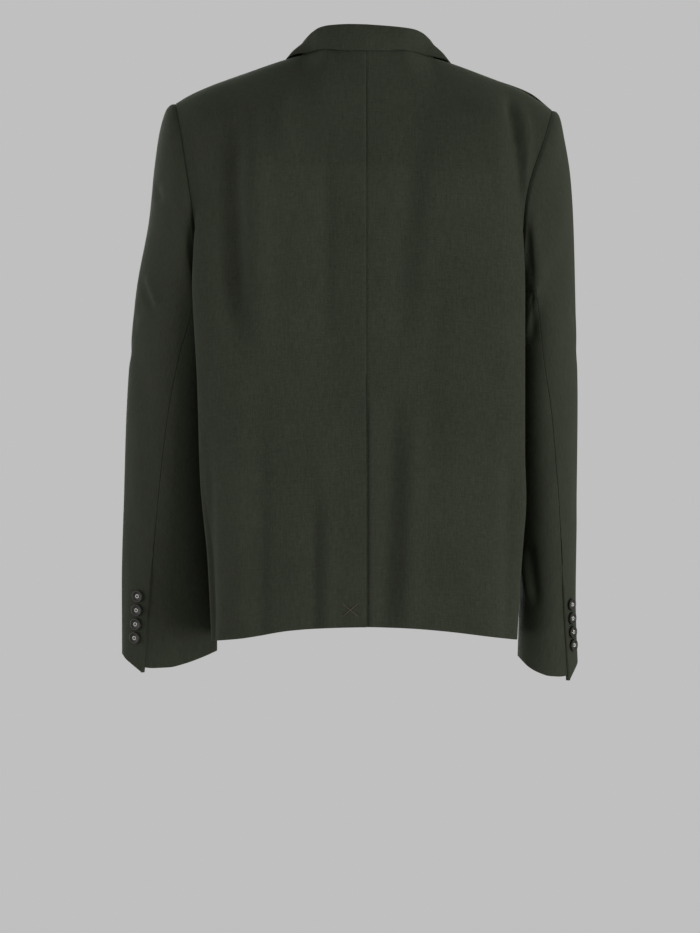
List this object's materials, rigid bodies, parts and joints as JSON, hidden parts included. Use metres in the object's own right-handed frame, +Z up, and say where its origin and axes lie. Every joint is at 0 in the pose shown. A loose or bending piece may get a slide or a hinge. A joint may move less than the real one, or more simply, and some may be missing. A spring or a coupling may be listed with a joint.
{
  "type": "blazer",
  "caption": "Single-breasted tailored blazer in dark green wool, worn pose, hollow, with collar, lapels, centre back vent and buttoned cuff vents",
  "frame": {"origin": "the middle of the neck opening, at the height of the neck points, where the wearer's neck and shoulders hold the blazer up", "axes": "+Z up; the front of the blazer faces -Y and its back +Y; +X is the wearer's left"},
  "size_m": [0.5561, 0.2506, 0.7852],
  "materials": {
    "wool_cloth": "fine matt wool weave, dark green, slight sheen at grazing angles",
    "horn_button": "dark green-brown horn effect, softly polished, dished"
  },
  "bodies": {
    "root": {"back_left": "wool_cloth", "back_right": "wool_cloth", "front_left": "wool_cloth", "front_right": "wool_cloth", "lapel_left": "wool_cloth", "lapel_right": "wool_cloth", "collar": "wool_cloth", "top_sleeve_left": "wool_cloth", "top_sleeve_right": "wool_cloth", "under_sleeve_left": "wool_cloth", "under_sleeve_right": "wool_cloth", "cuff_button_left_1": "horn_button", "cuff_button_left_2": "horn_button", "cuff_button_left_3": "horn_button", "cuff_button_left_4": "horn_button", "cuff_button_right_1": "horn_button", "cuff_button_right_2": "horn_button", "cuff_button_right_3": "horn_button", "cuff_button_right_4": "horn_button", "front_button_upper": "horn_button", "front_button_lower": "horn_button"}
  },
  "joints": []
}
